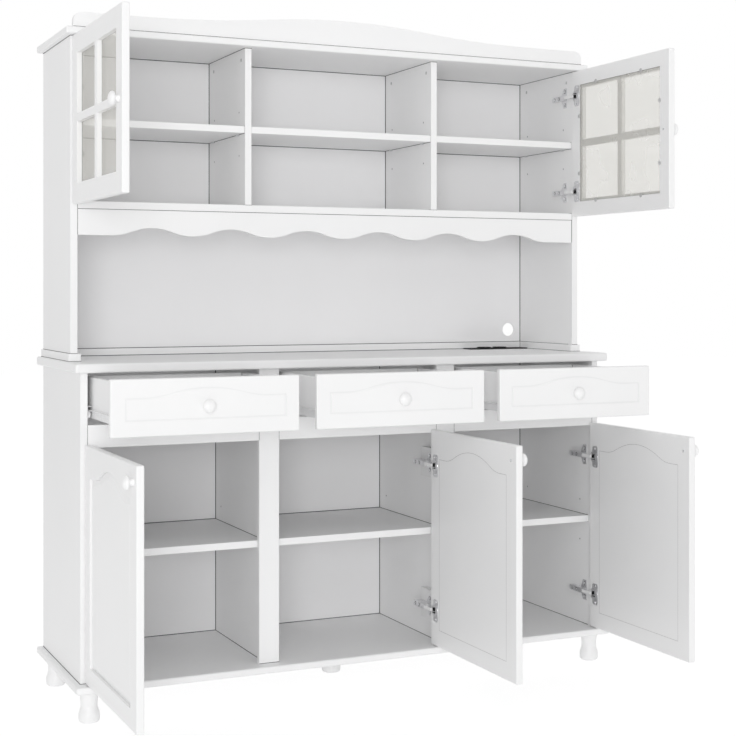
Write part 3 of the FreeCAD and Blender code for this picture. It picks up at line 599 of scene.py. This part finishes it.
def ribbon(bm, place, points, half_width, y_low, y_high):
    """A fine closed band that follows a line on a flat face."""
    rows = []
    for step, here in enumerate(points):
        before, after = points[step - 1], points[(step + 1) % len(points)]
        a = Vector((here[0] - before[0], here[1] - before[1])).normalized()
        b = Vector((after[0] - here[0], after[1] - here[1])).normalized()
        normal = Vector((-(a + b)[1], (a + b)[0])).normalized()
        stretch = half_width / max(least_mitre, normal.dot(Vector((-a[1], a[0]))))
        corners = []
        for way, y in ((-1, y_low), (1, y_low), (1, y_high), (-1, y_high)):
            x, z = here[0] + way * normal[0] * stretch, here[1] + way * normal[1] * stretch
            corners.append(bm.verts.new(place @ Vector((x, y, z))))
        rows.append(corners)
    join_rings(bm, rows + rows[:1])


# Hinge cups, with the cover over each, the slot that it leaves for the link and the painted shade inside
disc_segments = 40
cup_from_pin = 13.2 * MM
cup_inner = 16.8 * MM
cup_flange = 1.0 * MM
cup_screw_ahead, cup_screw_rise = 6 * MM, 24 * MM
cup_screw_radius, cup_screw_height = 3.9 * MM, 1.2 * MM
cover_overlap = 0.5 * MM
cover_bottom, cover_top = 1.0 * MM, 1.6 * MM
link_slot_end, link_slot_half = 18.5 * MM, 8.2 * MM
cup_wall_gap, cup_mouth_gap = 0.15 * MM, 0.2 * MM
cup_wall_steps, cup_floor_segments = 22, 28
cup_depth, cup_floor = 12.6 * MM, 0.25 * MM

# The screw that holds a door's knob, from inside
knob_screw_radius, knob_screw_height = 3.6 * MM, 1.4 * MM
knob_edge_inset, knob_top_inset = 26 * MM, 38 * MM


def clipped_disc(radius, limits):
    """A disc cut straight: each limit keeps the side of an axis that its sign names."""
    points = circle(radius, disc_segments)
    for axis, way, value in limits:
        kept = []
        for a, b in zip(points, points[1:] + points[:1]):
            inside = [way * (point[axis] - value) >= 0 for point in (a, b)]
            if inside[0]:
                kept.append(a)
            if inside[0] != inside[1]:
                share = (value - a[axis]) / (b[axis] - a[axis])
                kept.append((a[0] + (b[0] - a[0]) * share, a[1] + (b[1] - a[1]) * share))
        points = kept
    return points


def cup_cover(bm, spot):
    """Three plates over a cup: one beyond the slot's end and one on each side of the slot."""
    slot_end = link_slot_end - cup_from_pin
    beyond, before = (0, 1, slot_end), (0, -1, slot_end)
    for limits in ([beyond], [before, (1, 1, link_slot_half)], [before, (1, -1, -link_slot_half)]):
        plate(bm, spot, clipped_disc(cup_inner + cover_overlap, limits), cover_bottom, cover_top)


def line_cup_with_shade(bm, spot):
    """Painted shade inside a cup: a black lining on its wall, but for the notch where the link comes in, and on
    its floor.
    """
    radius = cup_inner - cup_wall_gap
    notch = math.asin(link_slot_half / radius)
    wall = []
    for step in range(cup_wall_steps + 1):
        angle = -math.pi + notch + (2 * math.pi - 2 * notch) * step / cup_wall_steps
        x, y = radius * math.cos(angle), radius * math.sin(angle)
        wall.append([bm.verts.new(spot @ Vector((x, y, level))) for level in (-cup_depth, -cup_mouth_gap)])
    for a, b in zip(wall, wall[1:]):
        bm.faces.new((a[0], b[0], b[1], a[1]))
    plate(bm, spot, circle(radius, cup_floor_segments), -cup_depth - cup_floor, -cup_depth)


def hinge_details(name, body, place, width, height):
    """What shows on a door's cups, with painted shade inside each, and the screw of its knob."""
    screws, covers, shade_linings = bmesh.new(), bmesh.new(), bmesh.new()
    for z in hinge_levels(name, height):
        for way in (-1, 1):
            spot = on_door(place, cup_from_pin + cup_screw_ahead, pin_from_inner + cup_flange,
                           z + way * cup_screw_rise)
            screw(screws, spot, cup_screw_radius, cup_screw_height)
        centre = Matrix.Translation(Vector((cup_from_pin, pin_from_inner, z)))
        spot = place @ centre @ Matrix.Rotation(-math.pi / 2, 4, "X")
        cup_cover(covers, spot)
        line_cup_with_shade(shade_linings, spot)
    knob_z = height - knob_top_inset if name.startswith("lower") else height / 2
    spot = on_door(place, width - knob_edge_inset - pin_from_edge, pin_from_inner, knob_z)
    screw(screws, spot, knob_screw_radius, knob_screw_height)
    new_piece(name + "_hinge_screws", screws, body, "bright_steel", True)
    new_piece(name + "_cup_covers", covers, body, "bright_steel")
    # Black linings: painted shade inside the cups
    new_piece(name + "_cup_shade_linings", shade_linings, body, "shadow_black")


# Painted shade: the dark line where panel and frame meet, from the edges of a lower door
panel_side, panel_foot = 50 * MM, 46 * MM
panel_shoulder, panel_peak, panel_flat = 76 * MM, 41 * MM, 35 * MM
outline_half = 0.45 * MM
outline_sink, outline_rise = 0.4 * MM, 0.04 * MM


def door_outline(name, body, place, width, height):
    """Painted shade in the line where panel and frame meet on the inner face."""
    bm = bmesh.new()
    line = arched_outline(panel_side - pin_from_edge, width - panel_side - pin_from_edge, panel_foot,
                          height - panel_shoulder, height - panel_peak, panel_flat)
    ribbon(bm, place, line, outline_half, pin_from_inner - outline_sink, pin_from_inner + outline_rise)
    # A grey band: painted shade in the gap between panel and frame
    new_piece(name + "_inner_shade_line", bm, body, "line_grey")


# Panes: their rebate, the clips that hold them and the line round them
rebate_inset = 42 * MM
clip_side_shares, clip_end_shares = (0.24, 0.73), (0.22, 0.78)
clip_profile = in_mm((5.6, -0.1), (5.8, 0.9), (5.2, 1.7), (2.6, 2.1), (2.2, 1.5), (0.6, 1.4))
edge_line_gap, edge_line_half = 0.3 * MM, 0.28 * MM
edge_line_bottom, edge_line_top = 5.9 * MM, 1.6 * MM


def glass_clips(name, body, place, width, height):
    """Round clips that hold the pane in its rebate, and the dark line round it."""
    bm = bmesh.new()
    x0, x1 = rebate_inset - pin_from_edge, width - rebate_inset - pin_from_edge
    z0, z1 = rebate_inset, height - rebate_inset
    spots = [(x, z0 + (z1 - z0) * share) for x in (x0, x1) for share in clip_side_shares]
    spots += [(x0 + (x1 - x0) * share, z) for z in (z0, z1) for share in clip_end_shares]
    for x, z in spots:
        lathe(bm, on_door(place, x, pin_from_inner, z), clip_profile)
    new_piece(name + "_glass_clips", bm, body, "clip_grey", True)
    bm = bmesh.new()
    # A dark grey band in the gap round the pane's edge
    line = rectangle(x0 + edge_line_gap, x1 - edge_line_gap, z0 + edge_line_gap, z1 - edge_line_gap)
    ribbon(bm, place, line, edge_line_half, pin_from_inner - edge_line_bottom, pin_from_inner - edge_line_top)
    new_piece(name + "_pane_edge_line", bm, body, "line_grey")


def door_details(joint):
    """The small pieces of one door, inside."""
    door = (door_name(joint), joint["child"], door_frame(joint), *door_size(door_name(joint)))
    hinge_details(*door)
    if door_name(joint).startswith("lower"):
        door_outline(*door)
    else:
        glass_clips(*door)


# Drawers: the box's walls and bottom with painted shade lines in its corners, its screws, and the groove on its
# front with painted shade in it
box_wall = 12 * MM
box_floor_rise = 14 * MM
box_line = 0.7 * MM
box_line_top_gap = 1 * MM
front_screw_radius, front_screw_height = 4.5 * MM, 2.0 * MM
side_screw_profile = in_mm((3.2, -0.2), (3.2, 0.1))
side_screw_rise, side_screw_drop = 22 * MM, 18 * MM
groove_side, groove_foot = 36.2 * MM, 37.8 * MM
groove_shoulder, groove_peak, groove_flat = 45.2 * MM, 24.2 * MM, 45 * MM
groove_half = 1.5 * MM
groove_top, groove_bottom = 1.85 * MM, 2.1 * MM


def box_lines(name, x0, x1, y0, y1, z0, z1):
    """Painted shade lines in the inside corners of a drawer's box."""
    bm = bmesh.new()
    for x, way in ((x0, 1), (x1, -1)):
        corner_line(bm, (x, y0, z0), (x, y1, z0), (way, 0, 1), box_line)
        corner_line(bm, (x, y0, z0), (x, y0, z1), (way, 1, 0), box_line)
        corner_line(bm, (x, y1, z0), (x, y1, z1), (way, -1, 0), box_line)
    corner_line(bm, (x0, y1, z0), (x1, y1, z0), (0, -1, 1), box_line)
    corner_line(bm, (x0, y0, z0), (x1, y0, z0), (0, 1, 1), box_line)
    # Shadow grey bars: painted shade in the box's inside corners
    new_piece("drawer_" + name + "_shade_lines", bm, name + "_drawer", "shadow_grey")


def drawer_screws(name, box_low, box_high, front_low, front_high):
    """The knob's screw inside the front, and the screws through the sides into the back."""
    bm = bmesh.new()
    middle, knob_z = (box_low[0] + box_high[0]) / 2, (front_low[2] + front_high[2]) / 2
    screw(bm, facing((middle, box_low[1], knob_z), (0, 1, 0)), front_screw_radius, front_screw_height)
    back_middle = box_high[1] - box_wall / 2
    for x, way in ((box_low[0], -1), (box_high[0], 1)):
        for z in (box_low[2] + side_screw_rise, box_high[2] - side_screw_drop):
            lathe(bm, facing((x, back_middle, z), (way, 0, 0)), side_screw_profile)
    new_piece("drawer_" + name + "_screws", bm, name + "_drawer", "bright_steel", True)


def drawer_groove_shade(name, front_low, front_high):
    """Painted shade in the groove milled in the drawer's front: a slightly darker white band along its floor."""
    bm = bmesh.new()
    line = arched_outline(front_low[0] + groove_side, front_high[0] - groove_side, front_low[2] + groove_foot,
                          front_high[2] - groove_shoulder, front_high[2] - groove_peak, groove_flat)
    ribbon(bm, Matrix(), line, groove_half, front_low[1] + groove_top, front_low[1] + groove_bottom)
    # A darker white band: painted shade in the groove
    new_piece("drawer_" + name + "_groove", bm, name + "_drawer", "groove_painted_shade")


def drawer_details(name):
    """The small pieces of one drawer."""
    box_low, box_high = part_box("drawer_" + name + "_box")
    front_low, front_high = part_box("drawer_" + name + "_front")
    box_lines(name, box_low[0] + box_wall, box_high[0] - box_wall, box_low[1], box_high[1] - box_wall,
              box_low[2] + box_floor_rise, box_high[2] - box_line_top_gap)
    drawer_screws(name, box_low, box_high, front_low, front_high)
    drawer_groove_shade(name, front_low, front_high)


# Hinge plates on the carcass, from the cabinet's front edge and from the pin
wing_height = 2 * MM
arm_from_pin = 17 * MM
wing_screw_depth, wing_screw_rise = 36 * MM, 19 * MM
wing_screw_radius, wing_screw_height = 4.3 * MM, 1.8 * MM
arm_screws = in_mm((57, 4.0), (80, 3.4))
arm_screw_height = 1.0 * MM
# A ring of painted shade round each plate screw's head
shade_ring_margin = 1.0 * MM
shade_ring_top = 0.15 * MM

# Painted reflection: thin white plates on the link, beside the arm and on the front of its crank, for the white
# that the bright steel mirrors
link_half = 4.7 * MM
link_start = 0.2 * MM
link_end_depth = 27 * MM
link_bottom, link_top = 0.05 * MM, 0.15 * MM
crank_from_pin = 11.5 * MM
crank_ahead = 0.3 * MM


def screw_on_shade_ring(screws, shade_rings, spot, radius, height):
    """A screw head on a dark ring of painted shade."""
    screw(screws, spot, radius, height)
    width = radius + shade_ring_margin
    lathe(shade_rings, spot, [(width, -sink), (width, shade_ring_top)])


def link_reflection_plates(bm, side, pin, arm, front):
    """Painted reflection on one hinge's link and crank: thin white plates."""
    end = front + link_end_depth - pin[1]
    along = rectangle(-link_start, end, -link_half, link_half)
    across = rectangle(crank_from_pin, arm_from_pin, -link_half, link_half)
    for place, outline in ((facing((arm, pin[1], pin[2]), (-side, 0, 0)), along),
                           (facing((pin[0], pin[1] - crank_ahead, pin[2]), (0, -1, 0)), across)):
        plate(bm, place, [(-side * x, y) for x, y in outline], -link_bottom, link_top)


def hinge_plates():
    """The screws of the hinge plates, two in the wings and two along the arm, each on a ring of painted shade, and
    the painted reflection on the links.
    """
    screws, shade_rings, faces = bmesh.new(), bmesh.new(), bmesh.new()
    for joint in hinged:
        name, side = door_name(joint), hinge_side(joint)
        front = hutch_front if name.startswith("upper") else lower_front
        wall = stile_in if name == "lower_middle" else side_in
        pin_x, pin_y, pin_z = joint["pos_m"]
        wing, arm = side * (wall - wing_height), pin_x - side * arm_from_pin
        for z in hinge_levels(name, door_size(name)[1]):
            level = pin_z + z
            link_reflection_plates(faces, side, (pin_x, pin_y, level), arm, front)
            for way in (-1, 1):
                spot = facing((wing, front + wing_screw_depth, level + way * wing_screw_rise), (-side, 0, 0))
                screw_on_shade_ring(screws, shade_rings, spot, wing_screw_radius, wing_screw_height)
            for depth, radius in arm_screws:
                spot = facing((arm, front + depth, level), (-side, 0, 0))
                screw_on_shade_ring(screws, shade_rings, spot, radius, arm_screw_height)
    new_piece("hinge_plate_screws", screws, "cabinet", "bright_steel", True)
    # Black rings: painted shade round the screw heads
    new_piece("hinge_screw_shade_rings", shade_rings, "cabinet", "shadow_black")
    # White plates: painted reflection on the links
    new_piece("hinge_link_reflections", faces, "cabinet", "link_painted_reflection")


# Spare shelf pin holes, drawn as discs of painted shade, from the shelf's pins and the cabinet's front, and caps
# over screws
hole_profile = in_mm((2.6, -0.1), (2.6, 0.06))
pin_radius = 2.5 * MM
hole_rise, hole_drop = 61 * MM, 54 * MM
lower_hole_depth, upper_hole_depth = 63.5 * MM, 48 * MM
hole_rear_inset = 45 * MM
cap_profile = in_mm((4.6, -0.1), (4.6, 0.4), (3.6, 0.9), (0.4, 1.0))
cap_front_depth, cap_rear_inset, cap_drop = 31 * MM, 40 * MM, 28 * MM


def wall_faces(wall_out, wall_in):
    """Each upright face of three bays side by side, with the way that it faces."""
    faces = ((side_in, -1), (wall_out, 1), (wall_in, -1))
    return [(way * face, way * turn) for way in (-1, 1) for face, turn in faces]


def pin_holes():
    """Painted shade for the spare shelf pin holes above and below each shelf, as grey discs on the walls, and the
    caps near the top of the hutch.
    """
    holes, caps = bmesh.new(), bmesh.new()
    for shelves, wall_out, wall_in, front_row in (
            ("lower_shelves", partition_out, partition_in, lower_front + lower_hole_depth),
            ("hutch_shelves", divider_out, divider_in, hutch_front + upper_hole_depth)):
        pin_z = low(shelves, 2) - pin_radius
        for y in (front_row, high(shelves, 1) - hole_rear_inset):
            for x, turn in wall_faces(wall_out, wall_in):
                for z in (pin_z + hole_rise, pin_z - hole_drop):
                    lathe(holes, facing((x, y, z), (turn, 0, 0)), hole_profile, fine_segments)
    for x, turn in wall_faces(divider_out, divider_in):
        for y in (hutch_front + cap_front_depth, back_face - cap_rear_inset):
            lathe(caps, facing((x, y, top_bottom - cap_drop), (turn, 0, 0)), cap_profile)
    # Grey discs: painted shade for the holes
    new_piece("spare_pin_hole_shades", holes, "cabinet", "line_grey")
    new_piece("screw_caps", caps, "cabinet", "clip_grey", True)


# Sockets in the outlet's plate
socket_shift, socket_half_pitch = 12.5 * MM, 26.5 * MM
rim_profile = in_mm((21.4, -0.3), (21.2, 0.7), (19.9, 0.9), (19.3, 0.2), (19.3, -0.3))
rim_segments = 32
contact_reach = 9.5 * MM
contact_profile = in_mm((2.5, -0.1), (2.5, 0.05))
earth_reach = 17.4 * MM
earth_half_length, earth_half_width, earth_top = 3 * MM, 0.6 * MM, 0.7 * MM


def socket_details():
    """The raised rims, pin holes drawn as black discs of painted shade, and earth clips of the two sockets."""
    rims, holes, clips = bmesh.new(), bmesh.new(), bmesh.new()
    outlet_low, outlet_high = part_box("power_outlet")
    middle, y = (outlet_low[0] + outlet_high[0]) / 2 - socket_shift, (outlet_low[1] + outlet_high[1]) / 2
    top = outlet_high[2]
    clip = rectangle(-earth_half_length, earth_half_length, -earth_half_width, earth_half_width)
    for x in (middle - socket_half_pitch, middle + socket_half_pitch):
        centre = Matrix.Translation(Vector((x, y, top)))
        rings = [new_ring(rims, centre, circle(radius, rim_segments), height)
                 for radius, height in rim_profile]
        join_rings(rims, rings + rings[:1])
        for turn in (-1, 1):
            spot = facing((x + turn * contact_reach, y, top), (0, 0, 1))
            lathe(holes, spot, contact_profile, fine_segments)
            plate(clips, facing((x, y + turn * earth_reach, top), (0, 0, 1)), clip, -sink, earth_top)
    new_piece("socket_rims", rims, "cabinet", "black_plastic", True)
    # Black discs: painted shade in the contact holes
    new_piece("socket_hole_shades", holes, "cabinet", "shadow_black")
    new_piece("socket_earth_clips", clips, "cabinet", "bright_steel")


# Back panels: nails beside each seam, and a strip of painted shade in the seam itself
nail_profile = in_mm((2.4, -0.1), (2.4, 0.35), (1.5, 0.6))
nail_count = 6
nail_end_inset, nail_beside = 30 * MM, 7 * MM
back_seam_from_wall = 9 * MM
back_seam_half, back_seam_sink, back_seam_rise = 0.3 * MM, 0.3 * MM, 0.05 * MM


def back_nails():
    """Nail heads that hold the back panels, and painted shade in the seams between them."""
    nails, seams = bmesh.new(), bmesh.new()
    for z0, z1, wall in ((base_top, counter_bottom, partition_in), (floor_bottom, top_bottom, divider_in)):
        seam_x, half = wall + back_seam_from_wall, (z1 - z0) / 2
        for step in range(nail_count):
            z = z0 + nail_end_inset + (z1 - z0 - 2 * nail_end_inset) * step / (nail_count - 1)
            for middle in (-seam_x, seam_x):
                for x in (middle - nail_beside, middle + nail_beside):
                    lathe(nails, facing((x, back_rear, z), (0, 1, 0)), nail_profile, coarse_segments)
        for x in (-seam_x, seam_x):
            plate(seams, facing((x, back_rear, (z0 + z1) / 2), (0, 1, 0)),
                  rectangle(-back_seam_half, back_seam_half, -half, half), -back_seam_sink, back_seam_rise)
    new_piece("back_nails", nails, "cabinet", "bright_steel", True)
    # Shadow grey strips: painted shade in the seams
    new_piece("back_seam_shade_strips", seams, "cabinet", "shadow_grey")


def small_pieces():
    """Everything on the cabinet that the CAD nodes don't hold."""
    carcass_lines()
    for name in ("left", "middle", "right"):
        drawer_details(name)
    for joint in hinged:
        door_details(joint)
    hinge_plates()
    pin_holes()
    socket_details()
    back_nails()


# Stage: floor, lamps and camera

def white_to_the_eye(tree):
    """1 for rays from the camera, mirrors and glass, and 0 for the rest."""
    path = tree.nodes.new("ShaderNodeLightPath")
    total = path.outputs["Is Camera Ray"]
    for name in ("Is Glossy Ray", "Is Transmission Ray"):
        largest = tree.nodes.new("ShaderNodeMath")
        largest.operation = "MAXIMUM"
        tree.links.new(total, largest.inputs[0])
        tree.links.new(path.outputs[name], largest.inputs[1])
        total = largest.outputs["Value"]
    return total


def make_world():
    """White all round for the eye, and a softer white as light."""
    world = bpy.data.worlds.new("studio")
    bpy.context.scene.world = world
    world.use_nodes = True
    tree = world.node_tree
    tree.nodes.clear()
    soft, seen = tree.nodes.new("ShaderNodeBackground"), tree.nodes.new("ShaderNodeBackground")
    soft.inputs["Strength"].default_value = ambient_strength
    seen.inputs["Strength"].default_value = 1.0
    for background in (soft, seen):
        background.inputs["Color"].default_value = (1, 1, 1, 1)
    mix, output = tree.nodes.new("ShaderNodeMixShader"), tree.nodes.new("ShaderNodeOutputWorld")
    tree.links.new(white_to_the_eye(tree), mix.inputs["Fac"])
    tree.links.new(soft.outputs["Background"], mix.inputs[1])
    tree.links.new(seen.outputs["Background"], mix.inputs[2])
    tree.links.new(mix.outputs["Shader"], output.inputs["Surface"])


def glowing_floor(tree, tone, glow):
    """A diffuse tone with some light of its own."""
    diffuse, emission = tree.nodes.new("ShaderNodeBsdfDiffuse"), tree.nodes.new("ShaderNodeEmission")
    diffuse.inputs["Color"].default_value = (tone, tone, tone, 1)
    emission.inputs["Strength"].default_value = glow
    both = tree.nodes.new("ShaderNodeAddShader")
    tree.links.new(diffuse.outputs["BSDF"], both.inputs[0])
    tree.links.new(emission.outputs["Emission"], both.inputs[1])
    return both.outputs["Shader"]


def make_floor():
    """A pale floor that the camera sees as white, with the cabinet's soft shadow on it."""
    bm = bmesh.new()
    bmesh.ops.create_grid(bm, x_segments=floor_cells, y_segments=floor_cells, size=floor_half_width)
    mesh = bpy.data.meshes.new("floor")
    bm.to_mesh(mesh)
    bm.free()
    floor = bpy.data.objects.new("floor", mesh)
    bpy.context.scene.collection.objects.link(floor)
    material = bpy.data.materials.new("studio_floor")
    material.use_nodes = True
    tree = material.node_tree
    tree.nodes.clear()
    mix = tree.nodes.new("ShaderNodeMixShader")
    output = tree.nodes.new("ShaderNodeOutputMaterial")
    tree.links.new(white_to_the_eye(tree), mix.inputs["Fac"])
    tree.links.new(glowing_floor(tree, floor_bounce, floor_lift), mix.inputs[1])
    tree.links.new(glowing_floor(tree, floor_shade, floor_glow), mix.inputs[2])
    tree.links.new(mix.outputs["Shader"], output.inputs["Surface"])
    floor.data.materials.append(material)


def area_lamp(name, place, target, power):
    lamp = bpy.data.lights.new(name, "AREA")
    lamp.shape = "DISK"
    lamp.size = lamp_width
    lamp.energy = power
    holder = bpy.data.objects.new(name, lamp)
    bpy.context.scene.collection.objects.link(holder)
    holder.location = place
    holder.rotation_euler = (Vector(target) - Vector(place)).to_track_quat("-Z", "Y").to_euler()


def make_camera():
    data = bpy.data.cameras.new("camera")
    data.sensor_width = sensor_width
    data.lens = sensor_width * focal_pixels / image_pixels
    data.shift_x = (image_pixels / 2 - centre_column) / image_pixels
    data.shift_y = (centre_row - image_pixels / 2) / image_pixels
    data.clip_end = camera_reach
    camera = bpy.data.objects.new("camera", data)
    camera.location = camera_place
    camera.rotation_euler = (math.pi / 2, 0, -camera_yaw)
    bpy.context.scene.collection.objects.link(camera)
    bpy.context.scene.camera = camera


bpy.context.scene.view_settings.view_transform = "Standard"
dress_nodes()
small_pieces()
make_world()
make_floor()
area_lamp("key_lamp", key_place, key_target, key_power)
area_lamp("high_lamp", high_place, high_target, high_power)
make_camera()
